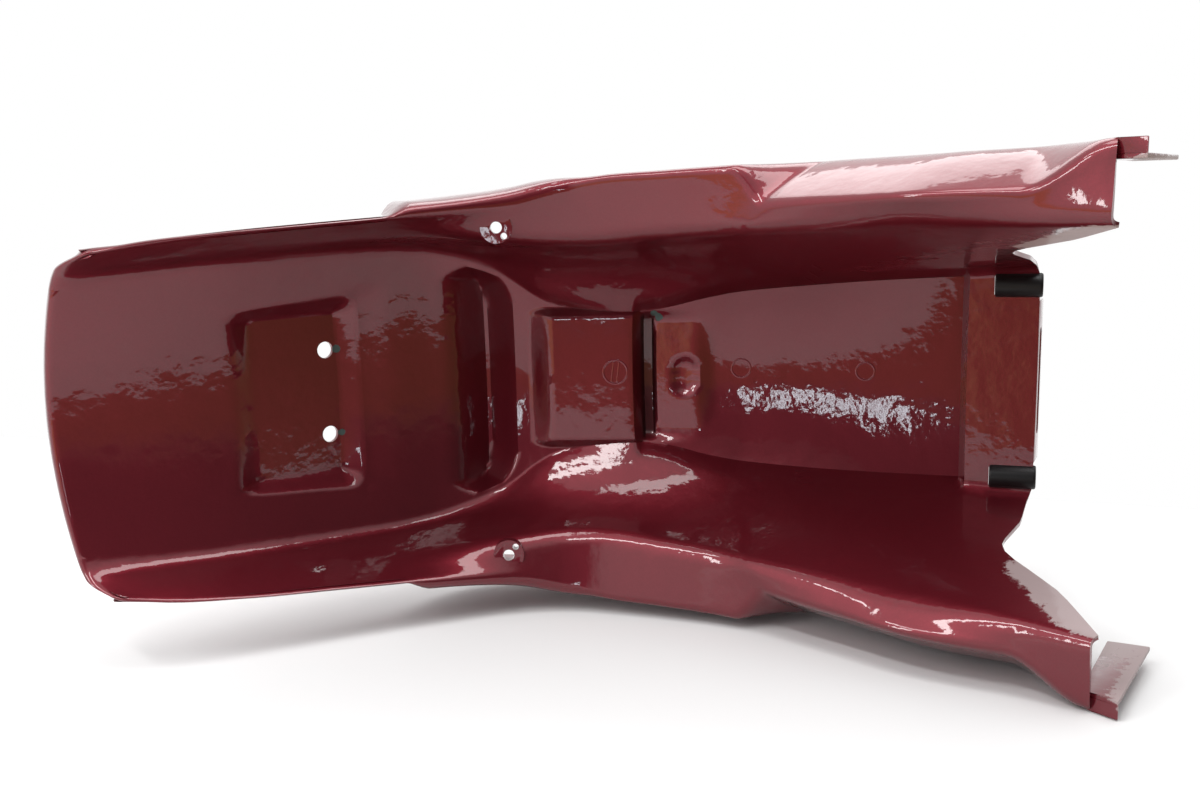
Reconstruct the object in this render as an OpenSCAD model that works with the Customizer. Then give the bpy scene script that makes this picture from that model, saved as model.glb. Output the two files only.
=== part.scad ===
/* [Overall] */
// Length of the floor, from the tail edge to the front edge
length = 657; // [560:1:760]
// Depth of the arch, from the front corners of the rails to the crown
rise = 272; // [220:1:320]
// Width over the two side skins at the front
width = 320; // [260:1:380]

/* [Shell] */
// Wall of the moulding
wall = 3; // [2:0.1:4]
// Depth of the turned rim round the tail
rim_depth = 8; // [6:0.5:14]
// Leg of the roundings where the sheet turns a corner
corner = 7; // [5.5:0.5:10]
// Leg of the rounding of the outer lip
lip_corner = 6; // [5:0.5:8]

/* [Rails] */
// Height of the side skins above the lip
skin_height = 85; // [50:1:110]
// How far the lip is cut in along the scallop
scallop_depth = 27; // [10:1:32]
// Reach of the scallop's slope up the side skin
scallop_reach = 46; // [24:1:60]
// Length of the scallops from end to end
scallop_len = 172; // [140:4:180]
// How far the rear part of the skin stands out from the tail
skin_bulge = 8.5; // [4:0.5:12]
// Bore of the rear bolt holes of the rails
rail_bolt_d = 8; // [6:0.5:10]
// Bore of the small pin holes beside them
rail_pin_d = 4.5; // [3:0.5:6]
// Diameter of the flat seat round each rear bolt hole
rail_seat_d = 22; // [16:1:26]

/* [Lamp seat] */
// Length of the recess that the tail lamp bolts to
seat_len = 97; // [80:1:110]
// Half width of the flat bottom of the recess
seat_half = 54; // [44:1:58]
// Depth of the recess at its tail end
seat_shallow = 3; // [2:0.5:6]
// Depth of the recess at its front end
seat_deep = 14; // [9:0.5:18]
// Bore of the two lamp bolt holes
lamp_bolt_d = 12; // [8:0.5:14]
// Distance between the two lamp bolt holes
lamp_bolt_gap = 62; // [44:1:76]

/* [Cross pocket] */
// Length of the pocket along the fender
pocket_len = 56; // [44:1:62]
// Half width of the pocket
pocket_half = 88; // [70:1:92]
// Depth of the pocket
pocket_deep = 30; // [15:1:36]

/* [Raised pad and shelf] */
// Half width of the raised pad
pad_half = 47; // [36:1:52]
// Height of the raised pad above the floor
pad_height = 14; // [6:0.5:18]
// Width of the groove in front of the pad
groove_w = 10; // [7:0.5:12]
// Height of the shelf in front of the groove
shelf_height = 4; // [2:0.5:8]
// Diameter of the round dimple in the shelf
dimple_d = 22; // [14:1:26]

/* [Front end] */
// Length of the flat end panel
panel_len = 44; // [40:1:60]
// Length of the open slots for the dampers
slot_len = 30; // [24:1:34]
// Width of those slots
slot_w = 13; // [10:0.5:15]
// Distance from the middle plane to the middle of each slot
slot_z = 68; // [62:0.5:69]
// Depth of the turned flange at the front edge
flange_depth = 20; // [16:1:28]
// Length of the window in that flange
window_len = 76; // [50:1:90]
// Width of the window
window_w = 9; // [6:0.5:12]
// How far the side walls are cut back in the notch
notch_depth = 31; // [15:1:40]
// Length of the two front tongues
tongue_len = 94; // [60:1:110]
// Width of the tongues
tongue_w = 17; // [12:1:22]

/* [Dampers] */
// Diameter of the rubber dampers
damper_d = 17; // [14:0.5:18]
// Play between a damper's grooves and the slot
damper_play = 0.2; // [0.1:0.05:0.4]

/* [Hidden] */
paint = "#7a1222";
rubber = "#1b1b1d";

// Stations of the fender, from the tail edge to the front edge. Each row has
// the place along the length, the depth of the floor there, and then the
// floor edge, the inner edge of the rail and the lip, each as its lead
// ahead of the station, its depth and its half width.
drawn_length = 657;
drawn_rise = 272;
drawn_width = 320;
stations = [
    [-355, [-120, 17, -132, 93, 24, -138, 102, 42, -144, 109]],
    [-300, [-88, 9, -101, 98, 16, -120, 106, 23, -135, 115]],
    [-250, [-54, 6, -70, 101, 13, -94, 110, 19, -117, 119]],
    [-200, [-19, 3, -36, 104, 10, -68, 113, 15, -96, 122]],
    [-155, [8, 3, -7, 105, 9, -46, 114, 16, -76, 125]],
    [-120, [27, 1, 10, 102, 12, -40, 111, 25, -58, 129]],
    [-80, [36, 0, 20, 90, 10, -37, 106, 20, -48, 134]],
    [-41, [34, 0, 23, 65, 6, -34, 104, 14, -46, 143]],
    [0, [30, 0, 20, 58, 0, -39, 104, 0, -52, 149]],
    [38, [26, 0, 16, 58, -2, -53, 107, 2, -66, 151]],
    [80, [20, -2, 5, 67, -6, -74, 110, 6, -87, 153]],
    [103, [16, -2, 0, 71, -9, -90, 111, 3, -110, 154]],
    [150, [5, -2, -12, 75, -14, -122, 113, -8, -146, 155]],
    [200, [-9, -2, -22, 78, -22, -153, 115, -20, -183, 156]],
    [250, [-25, -2, -33, 80, -27, -192, 115, -22, -211, 157]],
    [302, [-44, -2, -48, 82, -36, -236, 115, -31, -228, 159]]
];
kx = length / drawn_length;
ky = rise / drawn_rise;
kz = width / drawn_width;
x_tail = stations[0][0] * kx;
x_front = stations[len(stations) - 1][0] * kx;

// Places of the floor's forms along the length
seat_front = -156 * kx;
seat_back = seat_front - seat_len;
pocket_back = -124 * kx;
pocket_front = pocket_back + pocket_len;
pad_back = -57 * kx;
pad_front = 29 * kx;
shelf_back = pad_front + groove_w;
shelf_front = 70 * kx;
shelf_half = 42;
dimple_x = 61 * kx;
dimple_z = 4;
dimple_deep = 4;
panel_back = x_front - panel_len;
scallop_back = 78 * kx;
scallop_front = scallop_back + scallop_len * kx;
blister_back = -156 * kx;

function clamp(v, lo = 0, hi = 1) = min(max(v, lo), hi);
function step(a, b, x) = let (t = clamp((x - a) / (b - a))) t * t * (3 - 2 * t);
function unit(v) = v / norm(v);
function bend(a, b, c, t) = (1 - t) * (1 - t) * a + 2 * t * (1 - t) * b + t * t * c;

// Smooth curve through the stations, for all their values at once
function knot(i) = stations[clamp(i, 0, len(stations) - 1)];
function slope(i) = (knot(i + 1)[1] - knot(i - 1)[1]) / (knot(i + 1)[0] - knot(i - 1)[0]);
function section(x) =
    let (
        u = x / kx,
        i = clamp(len([for (s = stations) if (s[0] <= u) 1]) - 1, 0, len(stations) - 2),
        h = knot(i + 1)[0] - knot(i)[0],
        t = (u - knot(i)[0]) / h
    )
    (2 * t * t * t - 3 * t * t + 1) * knot(i)[1] + (t * t * t - 2 * t * t + t) * h * slope(i)
    + (3 * t * t - 2 * t * t * t) * knot(i + 1)[1] + (t * t * t - t * t) * h * slope(i + 1);

// Floor without its forms: depth at a station, with the crown across
function floor_y(x, z) =
    let (s = section(x), c = abs(z) / (s[3] * kz))
    ky * (s[0] + (s[2] - s[0]) * c * c);
function floor_out(x) =
    let (d = unit([2, floor_y(x + 1, 0) - floor_y(x - 1, 0)]))
    [-d[1], d[0]];

// How far the floor lies from a plane through two points of the side view
function to_plane(x, z, p, q) =
    let (b = [x, floor_y(x, z)], n = floor_out(x), d = q - p, g = p - b)
    (g[0] * d[1] - g[1] * d[0]) / (n[0] * d[1] - n[1] * d[0]);
function floor_point(x, out) = [x, floor_y(x, 0)] + out * floor_out(x);
seat_p = floor_point(seat_back, seat_shallow);
seat_q = floor_point(seat_front, seat_deep);
panel_p = floor_point(panel_back, -3);
panel_q = floor_point(x_front, -2);

// Forms of the floor, as distance out of it
seat_foot = seat_half + 2;
seat_lead_in = 18;
seat_lip = seat_front - 21;
seat_wall = 13;
seat_shoulder = 2.2;
function seat_rim(x) = seat_foot + 8.3 + 10 * clamp((x - seat_back) / seat_len);
function seat_side(x, z) = clamp((seat_rim(x) - abs(z)) / (seat_rim(x) - seat_foot));
function seat_form(x, z) =
    let (at_lip = clamp((seat_lip - x) / seat_wall))
    seat_side(x, z)
    * (to_plane(x, z, seat_p, seat_q) * at_lip * clamp((x - seat_back) / seat_lead_in + 0.3)
        + seat_shoulder * (1 - at_lip) * step(seat_front, seat_lip, x));

// A ramp with rounded ends, and two ramps joined round a corner
function soft(v, w) =
    let (t = (clamp(v, -w, 1 + w) + w) / (1 + 2 * w))
    0.35 * t * t * (3 - 2 * t) + 0.65 * t;
function rounded(a, b) = 1 - min(1, norm([1 - clamp(a), 1 - clamp(b)]));
pocket_low = 34;
pocket_side = 12;
pocket_round = 34;
function pocket_form(x, z) =
    let (
        over = max(0, abs(z) - (pocket_half - pocket_round)),
        front = pocket_front - pocket_round
            + sqrt(max(0, pocket_round * pocket_round - over * over)),
        along = min((x - pocket_back) / pocket_low, (front - x) / (pocket_len - pocket_low))
    )
    pocket_deep * soft(rounded(along, (pocket_half - abs(z)) / pocket_side), 0.06);
pad_rise = 18;
pad_fall = 8;
pad_side = 7;
function pad_form(x, z) =
    let (along = min(clamp((x - pad_back) / pad_rise), step(pad_front, pad_front - pad_fall, x)))
    -pad_height * soft(rounded(along, (pad_half + pad_side - abs(z)) / pad_side), 0.04);
groove_deep = 2;
function groove_form(x, z) =
    groove_deep * step(pad_front - 2, pad_front + 1, x) * step(shelf_back, shelf_back - 3, x)
    * step(pad_half + 4, pad_half - 4, abs(z));
function shelf_form(x, z) =
    -shelf_height * step(shelf_back - 1.5, shelf_back, x)
    * step(shelf_front + 14, shelf_front - 4, x) * step(shelf_half + 10, shelf_half, abs(z));
function relief(x, z) =
    x > panel_back - 4
    ? step(panel_back - 4, panel_back, x) * to_plane(x, z, panel_p, panel_q)
    : seat_form(x, z) + pocket_form(x, z) + pad_form(x, z) + groove_form(x, z)
        + shelf_form(x, z);

// Corners of the section at a station
rim_lean = 0.35;
function scalloped(x) = step(scallop_back, scallop_back + 23, x)
    * step(x_front, scallop_front, x);
function lip_xy(x) = let (s = section(x)) [x + s[7] * kx, s[8] * ky];
function lip_across(x) =
    let (t = unit(lip_xy(x + 2) - lip_xy(x - 2)))
    [-t[1], t[0]];
function skin_rise(x) =
    let (t = clamp((x - blister_back) / (58 * kx)))
    rim_depth + (skin_height - rim_depth) * sqrt(1 - (1 - t) * (1 - t));
function skin_z(x) =
    section(x)[9] * kz + 1 + (rim_lean * rim_depth - 1) * step(x_tail + 40, x_tail, x)
    + skin_bulge * (step(blister_back, blister_back + 14, x) - step(-70 * kx, 0, x));
function edge_pt(x) = let (s = section(x)) [x + s[1] * kx, s[2] * ky, s[3] * kz];
function rail_pt(x) = let (s = section(x)) [x + s[4] * kx, s[5] * ky, s[6] * kz];
function lip_pt(x) =
    let (s = section(x), p = lip_xy(x))
    [p[0], p[1], s[9] * kz - scallop_depth * scalloped(x)];
function side_pt(x, reach, z) =
    let (p = lip_xy(x) + reach * lip_across(x))
    [p[0], p[1], z];
// The wall bows out between the floor edge and the rail, less so past the turn
wall_turn = [30, 200];
function wall_pt(x) =
    let (
        a = edge_pt(x),
        b = rail_pt(x),
        f = step(-155 * kx, -60 * kx, x),
        g = step(wall_turn[0] * kx, wall_turn[1] * kx, x)
    )
    a + [0.5 * (b[0] - a[0]), (0.5 - 0.15 * f + 0.1 * g) * (b[1] - a[1]),
        (0.5 + 0.25 * f - 0.38 * g) * (b[2] - a[2])];

// Columns of the section: which span they lie on, and where
FLOOR = 0;
EDGE = 1;
WALL = 2;
RAIL = 3;
LIP = 4;
SKIN = 5;
TOP = 6;
columns = [
    for (t = [0, 0.2, 0.38, 0.5, 0.56, 0.65, 0.74, 0.83, 0.92]) [FLOOR, t],
    for (t = [0, 0.5, 1]) [EDGE, t],
    for (t = [0.22, 0.5, 0.78]) [WALL, t],
    for (t = [0, 0.5, 1]) [RAIL, t],
    for (t = [0, 0.5, 1]) [LIP, t],
    for (t = [0.35, 0.7, 1]) [SKIN, t],
    [TOP, 1]
];
// How far each column ends short of the front edge, for the notch
function cut_back(c) =
    c[0] == WALL ? notch_depth * (c[1] < 0.4 ? 0.4 : c[1] < 0.6 ? 1 : 0.16)
    : c == [EDGE, 1] ? 4
    : c[0] == RAIL ? -6 * pow(1 - c[1], 3)
    : 0;

// Columns of the floor gather at the foot of the seat and of the pad
function floor_pt(x, t) =
    let (
        e = edge_pt(x),
        near_pad = step(pocket_back, pad_back, x),
        foot = seat_foot + (pad_half - seat_foot) * near_pad,
        full = e[2] - corner,
        rim = seat_rim(x) + (foot + 0.36 * (full - foot) - seat_rim(x)) * near_pad,
        z = t < 0.5 ? foot * t / 0.5
            : t < 0.65 ? foot + (rim - foot) * (t - 0.5) / 0.15
            : rim + (full - rim) * (t - 0.65) / 0.35,
        lead = (e[0] - x) * pow(z / e[2], 2),
        p = [x, floor_y(x, z)] + relief(x, z) * floor_out(x))
    [p[0] + lead, p[1], z];
function sheet_pt(c, x) =
    let (
        e = edge_pt(x), w = wall_pt(x), g = rail_pt(x), l = lip_pt(x),
        e_in = floor_pt(x, 1),
        e_up = e + min(corner, 0.7 * norm(w - e)) * unit(w - e),
        g_in = g + min(corner, 0.7 * norm(w - g)) * unit(w - g),
        g_up = g + corner * unit(l - g),
        l_in = l + lip_corner * unit(g - l),
        cut = scalloped(x),
        reach = min(lip_corner + (scallop_reach - lip_corner) * cut, 0.7 * skin_rise(x)),
        s = side_pt(x, reach, skin_z(x)),
        l_up = l + min(lip_corner, 0.8 * reach) * unit(s - l),
        top = side_pt(x, skin_rise(x), skin_z(x)),
        s_up = s + 0.4 * (top - s)
    )
    c[0] == FLOOR ? floor_pt(x, c[1])
    : c[0] == EDGE ? bend(e_in, e, e_up, c[1])
    : c[0] == WALL ? bend(e_up, w, g_in, c[1])
    : c[0] == RAIL ? bend(g_in, g, g_up, c[1])
    : c[0] == LIP ? bend(l_in, l, l_up, c[1])
    : c[0] == SKIN ? bend(l_up, s, s_up, c[1])
    : top;

// Rows along the fender, as the station and the depth of the turned rim
rim_leg = 5;
rows = [
    [x_tail, rim_depth],
    for (t = [0, 0.35, 0.7, 1]) [x_tail + rim_leg * t * t, rim_leg * (1 - t) * (1 - t)],
    for (x = [-325, -300, -276]) [x * kx, 0],
    for (d = [-6, 3, 12]) [seat_back + d, 0],
    for (f = [0.3, 0.48]) [seat_back + f * seat_len, 0],
    for (d = [-seat_wall, -0.4 * seat_wall, 0, 11, 21, 30]) [seat_lip + d, 0],
    for (f = [0, 0.12, 0.3, 0.48, 0.6, 0.7, 0.85, 1]) [pocket_back + f * pocket_len, 0],
    for (d = [0, 5, 14, 18, 38]) [pad_back + d, 0],
    for (d = [-28, -8, -4, 1]) [pad_front + d, 0],
    for (d = [-3, -1.3, 0.3, 14]) [shelf_back + d, 0],
    for (d = [-4, 7]) [shelf_front + d, 0],
    for (x = [84, 90, 96, 101, 122, 146, 172, 198, 224, 242]) [x * kx, 0],
    for (d = [-4.5, -2, 0]) [panel_back + d, 0],
    for (f = [0.33, 0.66, 1]) [panel_back + f * panel_len, 0]
];
notch_start = 190 * kx;
function place(c, r) =
    let (
        spread = c[0] == FLOOR ? 0 : 1.3 * min(r[0] - x_tail, rim_leg),
        x = r[0] + spread * step(x_tail + 40, x_tail + rim_leg, r[0])
            - cut_back(c) * step(notch_start, x_front, r[0]),
        p = sheet_pt(c, x),
        out = lip_across(x),
        turned = c[0] < SKIN ? 0 : norm([p[0] - lip_pt(x)[0], p[1] - lip_pt(x)[1]]),
        drop = max(r[1], turned) - turned
    )
    p + [drop * out[0] - rim_lean * r[1], drop * out[1], 0];

half_n = len(columns);
cols = [for (j = [half_n - 1:-1:1]) j, for (j = [0:half_n - 1]) j];
col_n = len(cols);
row_n = len(rows);
mid = half_n - 1;
function mirrored(p) = [p[0], p[1], -p[2]];
module sheet() {
    half_grid = [for (r = rows) [for (c = columns) place(c, r)]];
    inner = [for (row = half_grid) [for (j = [0:col_n - 1])
        j < mid ? mirrored(row[cols[j]]) : row[cols[j]]]];
    outer = [for (i = [0:row_n - 1]) [for (j = [0:col_n - 1])
        let (
            du = inner[min(i + 1, row_n - 1)][j] - inner[max(i - 1, 0)][j],
            dv = inner[i][min(j + 1, col_n - 1)] - inner[i][max(j - 1, 0)],
            out = cross(dv, du),
            turned = rows[i][1] > rim_depth / 2,
            past_lip = columns[cols[j]][0] >= LIP && rows[i][0] < x_tail + rim_leg
        )
        inner[i][j] + wall * (past_lip ? unit([1, 0, j < mid ? 0.8 : -0.8])
            : turned ? unit([out[0], 0, out[2]]) : unit(out))]];
    n = row_n * col_n;
    function at(i, j, side) = side * n + i * col_n + j;
    polyhedron(
        points = [for (row = inner) each row, for (row = outer) each row],
        faces = [
            for (i = [0:row_n - 2], j = [0:col_n - 2], h = [0, 1])
                let (k = (j < mid ? 1 : 0),
                    a = at(i, j, 0), b = at(i, j + 1, 0),
                    c = at(i + 1, j + 1, 0), d = at(i + 1, j, 0))
                h == 0 ? (k == 1 ? [c, d, a] : [b, d, a]) : (k == 1 ? [b, c, a] : [c, d, b]),
            for (i = [0:row_n - 2], j = [0:col_n - 2], h = [0, 1])
                let (k = (j < mid ? 1 : 0),
                    a = at(i, j, 1), b = at(i, j + 1, 1),
                    c = at(i + 1, j + 1, 1), d = at(i + 1, j, 1))
                h == 0 ? (k == 1 ? [d, c, a] : [d, b, a]) : (k == 1 ? [c, b, a] : [d, c, b]),
            for (i = [0:row_n - 2], h = [0, 1])
                h == 0 ? [at(i + 1, 0, 0), at(i, 0, 1), at(i, 0, 0)]
                    : [at(i + 1, 0, 0), at(i + 1, 0, 1), at(i, 0, 1)],
            for (i = [0:row_n - 2], h = [0, 1])
                let (m = col_n - 1)
                h == 0 ? [at(i, m, 1), at(i + 1, m, 0), at(i, m, 0)]
                    : [at(i + 1, m, 1), at(i + 1, m, 0), at(i, m, 1)],
            for (j = [0:col_n - 2], h = [0, 1])
                h == 0 ? [at(0, j, 1), at(0, j + 1, 0), at(0, j, 0)]
                    : [at(0, j + 1, 1), at(0, j + 1, 0), at(0, j, 1)],
            for (j = [0:col_n - 2], h = [0, 1])
                let (m = row_n - 1)
                h == 0 ? [at(m, j + 1, 0), at(m, j, 1), at(m, j, 0)]
                    : [at(m, j + 1, 0), at(m, j + 1, 1), at(m, j, 1)]
        ]);
}

// Frame of the flat end panel: its middle at the front edge, along and away
panel_turn = atan2(panel_q[1] - panel_p[1], panel_q[0] - panel_p[0]);
module on_panel() {
    translate([panel_q[0], panel_q[1], 0]) rotate([0, 0, panel_turn]) children();
}
// Frame of the flat bottom of the lamp seat, at the lamp's bolt line
seat_turn = atan2(seat_q[1] - seat_p[1], seat_q[0] - seat_p[0]);
bolt_line = seat_p + 0.58 * (seat_q - seat_p);
module on_seat() {
    translate([bolt_line[0], bolt_line[1], 0]) rotate([0, 0, seat_turn]) children();
}
module along_y(d, l) {
    rotate([-90, 0, 0]) cylinder(d = d, h = l, $fn = 48);
}

// Rear bolt hole of a rail and the pin hole beside it, on the rail's face
function on_rail(x, f) = rail_pt(x) + f * (lip_pt(x) - rail_pt(x));
rail_bolt = on_rail(-86 * kx, 0.37);
rail_pin = on_rail(-78 * kx, 0.16);
seat_rise = 2;
seat_thick = 7;

module rail_seat() {
    translate(rail_bolt + [0, -seat_rise, 0]) along_y(rail_seat_d, seat_thick);
}
module rail_bores() {
    translate(rail_bolt + [0, -20, 0]) along_y(rail_bolt_d, 40);
    translate(rail_pin + [0, -20, 0]) along_y(rail_pin_d, 40);
}
module lamp_bores() {
    on_seat() for (side = [-1, 1])
        translate([0, -10, side * lamp_bolt_gap / 2]) along_y(lamp_bolt_d, 20);
}

// Open slots of the end panel
module slots() {
    on_panel() for (side = [-1, 1])
        translate([-slot_len, -10, side * slot_z - slot_w / 2]) cube([slot_len + 20, 30, slot_w]);
}

// Flange turned back from the front edge, with its window
flange_lean = 8;
flange_half = slot_z - slot_w / 2 - 4;
module front_flange() {
    on_panel() rotate([0, 0, -flange_lean]) difference() {
        translate([-wall, 0, -flange_half]) cube([wall, flange_depth, 2 * flange_half]);
        translate([-wall - 1, flange_depth / 2 + 1, 0]) window();
    }
}
module window() {
    straight = window_len - window_w;
    translate([0, -window_w / 2, -straight / 2]) cube([wall + 2, window_w, straight]);
    for (side = [-1, 1]) translate([0, 0, side * straight / 2])
        rotate([0, 90, 0]) cylinder(d = window_w, h = wall + 2, $fn = 40);
}

// Tongues ahead of the side skins, each set in from its skin by a step
tongue_in = 8.5;
tongue_turn = 57.7;
tongue_root = lip_pt(x_front) + [1.5, 2, 0];
tongue_end = [[0, 0], [-tongue_w * 0.4, -tongue_w * 0.9]];
module on_tongue() {
    translate([tongue_root[0], tongue_root[1], skin_z(x_front) - tongue_in - wall])
        rotate([0, 0, tongue_turn]) children();
}
module tongue() {
    on_tongue() {
        linear_extrude(wall) polygon([tongue_end[0] + [0, 2 * wall], tongue_end[0], tongue_end[1],
            [tongue_len - 6, -tongue_w * 1.1], [tongue_len - 8, 0], [tongue_len - 8, 2 * wall]]);
        translate([2, 0, 0]) cube([skin_height - 8, wall, tongue_in + wall]);
        linear_extrude(tongue_in + wall) polygon([tongue_end[0] + [0, wall], tongue_end[0],
            tongue_end[1], tongue_end[1] + [wall, 0], tongue_end[0] + [wall, 0]]);
    }
}

// Round dimple pressed into the shelf
dimple_turn = atan2(floor_y(dimple_x + 4, 0) - floor_y(dimple_x - 4, 0), 8);
module at_dimple() {
    p = floor_point(dimple_x, -shelf_height);
    translate([p[0], p[1], dimple_z]) rotate([0, 0, dimple_turn]) children();
}
module dimple_back() {
    at_dimple() translate([0, 1.5, 0]) along_y(dimple_d + 2, dimple_deep + wall - 1.5);
}
module dimple_cut() {
    at_dimple() translate([0, -2, 0]) rotate([-90, 0, 0])
        cylinder(d1 = dimple_d + 3, d2 = dimple_d * 0.5, h = dimple_deep + 2, $fn = 48);
}

// The origin lies under the middle of the whole, at the lower side skin
tongue_tip = tongue_root[0] + (tongue_len - 6) * cos(tongue_turn)
    + 1.1 * tongue_w * sin(tongue_turn);
tongue_near = tongue_root[1] + tongue_end[1][0] * sin(tongue_turn)
    + tongue_end[1][1] * cos(tongue_turn);
tail_end = x_tail + rim_depth * (lip_across(x_tail)[0] - rim_lean);
deepest = max([for (r = rows) floor_pt(r[0], 0)[1]]) + wall;
half_width = max([for (r = rows) skin_z(r[0])]);
origin = [(tail_end + tongue_tip) / 2, (tongue_near + deepest) / 2, -half_width];
module placed() {
    translate(-origin) children();
}

module both() {
    children();
    mirror([0, 0, 1]) children();
}
module fender_shell() {
    color(paint) placed() difference() {
        union() {
            sheet();
            both() rail_seat();
            front_flange();
            both() tongue();
            dimple_back();
        }
        both() rail_bores();
        lamp_bores();
        slots();
        dimple_cut();
    }
}

// Rubber damper pushed into a slot, the sheet in its two side grooves
damper_out = 1.5;
module damper() {
    groove_y = wall + 2 * damper_play;
    on_panel() translate([-slot_len + damper_play, wall / 2, slot_z]) difference() {
        rotate([0, 90, 0]) cylinder(d = damper_d, h = slot_len + damper_out, $fn = 64);
        for (side = [-1, 1])
            translate([-1, -groove_y / 2, side * (slot_w / 2 - damper_play)
                - (side < 0 ? damper_d : 0)])
                cube([slot_len + damper_out + 2, groove_y, damper_d]);
    }
}
module upper_damper() {
    color(rubber) placed() damper();
}
module lower_damper() {
    color(rubber) placed() mirror([0, 0, 1]) damper();
}

fender_shell();
upper_damper();
lower_damper();
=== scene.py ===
"""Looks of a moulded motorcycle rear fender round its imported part, with a camera and a stage."""

import math

import bmesh
import bpy
import numpy as np
from bpy.props import FloatProperty, FloatVectorProperty, PointerProperty
from mathutils import Matrix, Vector


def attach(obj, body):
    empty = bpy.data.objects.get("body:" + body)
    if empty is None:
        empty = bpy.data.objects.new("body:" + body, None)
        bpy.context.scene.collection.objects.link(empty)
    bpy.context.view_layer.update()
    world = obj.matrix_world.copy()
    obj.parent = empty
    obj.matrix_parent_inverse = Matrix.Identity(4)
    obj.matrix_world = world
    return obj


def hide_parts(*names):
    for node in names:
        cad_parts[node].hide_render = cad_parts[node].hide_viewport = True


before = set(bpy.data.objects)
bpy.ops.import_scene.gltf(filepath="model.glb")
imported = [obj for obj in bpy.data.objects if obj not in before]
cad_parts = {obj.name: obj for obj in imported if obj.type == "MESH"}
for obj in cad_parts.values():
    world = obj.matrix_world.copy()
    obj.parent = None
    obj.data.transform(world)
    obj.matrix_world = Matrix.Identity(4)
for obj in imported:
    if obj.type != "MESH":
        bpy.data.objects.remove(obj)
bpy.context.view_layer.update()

bl_info = {
    "name": "Moulded Rear Fender",
    "version": (1, 0, 0),
    "blender": (4, 5, 0),
    "location": "View3D > Sidebar > Fender",
    "description": "Builds a red moulded rear fender with rubber dampers on a plain pale stage",
    "category": "Add Mesh",
}

# Lengths below are in millimetres, in the frame of the fender's middle plane. ORIGIN is the
# place of the row frame's origin in it.
MM = 0.001
ORIGIN = np.array([-12.2059, -87.1283, -160.0])
WALL = 3.0
RIM_DEPTH = 8.0
RIM_LEG = 5.0
RIM_LEAN = 0.35
CORNER = 7.0
RAIL_CORNER = 11.0
LIP_CORNER = 6.0
SKIN_HEIGHT = 85.0
SKIN_BULGE = 8.5
SCALLOP_DEPTH = 24.0
LIP_EASE = 8.0
SCALLOP_REACH = 46.0
TAIL, FRONT = -355.0, 302.0
SEAT = {"back": -253.0, "front": -156.0, "half": 56.0, "shallow": 3.0, "deep": 14.0}
SEAT_FOOT, SEAT_RIM = -190.0, -177.0
POCKET = {"back": -124.0, "low": -88.0, "front": -68.0, "half": 88.0, "deep": 24.0}
POCKET_SIDE, POCKET_ROUND, POCKET_CURVE = 12.0, 34.0, 1.7
PAD = {"back": -57.0, "rise": 18.0, "front": 29.0, "half": 47.0, "slope": 7.0, "height": 14.0}
GROOVE_DEEP = 5.0
GROOVE_ENDS = ((27, 30), (39, 36))
SHELF = {"back": 39.0, "front": 70.0, "half": 42.0, "height": 4.0, "tilt": 0.13}
DIMPLE = {"x": 61.0, "z": 4.0, "radius": 11.0, "deep": 4.0}
PANEL_BACK = 258.0
BLISTER_BACK = -156.0
SCALLOP_BACK, SCALLOP_FRONT = 78.0, 250.0
SLOT = {"z": 68.0, "width": 13.0, "length": 30.0}
DAMPER = {"d": 17.0, "play": 0.2, "out": 1.5}

# Small marks in the floor: rings as x, z, radius, width, strokes as x, z, lean, half length, width
MARK_RINGS = [(8.3, 5.0, 9.0, 0.9), (103.5, 5.0, 7.0, 0.8), (193.5, 3.0, 6.5, 0.8)]
MARK_STROKES = [(6.2, 5.0, -8, 7.0, 0.8), (10.4, 5.0, -8, 7.0, 0.8)]
MARK_STROKES += [(150.0, 83.0 - 5.5 * k, 62, 5.0, 0.8) for k in range(3)]
MARK_STROKES += [(146.0, -70.0 - 3.0 * k, 95, 4.5, 0.7) for k in range(3)]
# Chips in the paint: x, z, radius
CHIPS = [(-194.5, 31.0, 5.0), (-194.5, -31.0, 4.5), (42.0, 45.0, 5.5), (38.5, 48.0, 4.5)]

# Station, floor depth, then lead, depth and half width of floor edge, rail edge and lip
STATIONS = np.array(
    [
        [-355, -120, 17, -132, 93, 24, -138, 102, 42, -144, 109],
        [-300, -88, 9, -101, 98, 16, -120, 106, 23, -135, 115],
        [-250, -54, 6, -70, 101, 13, -94, 110, 19, -117, 119],
        [-200, -19, 3, -36, 104, 10, -68, 113, 15, -96, 122],
        [-155, 8, 3, -7, 105, 9, -46, 114, 16, -76, 125],
        [-120, 27, 1, 10, 102, 12, -40, 111, 25, -58, 129],
        [-80, 36, 0, 20, 90, 10, -37, 106, 20, -48, 134],
        [-41, 34, 0, 23, 65, 6, -34, 104, 14, -46, 143],
        [0, 30, 0, 20, 58, 0, -39, 104, 0, -52, 149],
        [38, 26, 0, 16, 58, -2, -53, 107, 2, -66, 151],
        [80, 20, -2, 5, 67, -6, -74, 110, 6, -87, 153],
        [103, 16, -2, 0, 71, -9, -90, 111, 3, -110, 154],
        [150, 5, -2, -12, 75, -14, -122, 113, -8, -146, 155],
        [200, -9, -2, -22, 78, -22, -153, 115, -20, -183, 156],
        [250, -25, -2, -33, 80, -27, -192, 115, -22, -211, 157],
        [302, -44, -2, -48, 82, -36, -236, 115, -31, -228, 159],
    ],
    float,
)


def ease(a, b, x):
    t = np.clip((x - a) / (b - a), 0, 1)
    return t * t * (3 - 2 * t)


def unit(v):
    return v / np.maximum(np.linalg.norm(v, axis=-1, keepdims=True), 1e-9)


def bend(a, b, c, t):
    return (1 - t) ** 2 * a + 2 * t * (1 - t) * b + t * t * c


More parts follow.
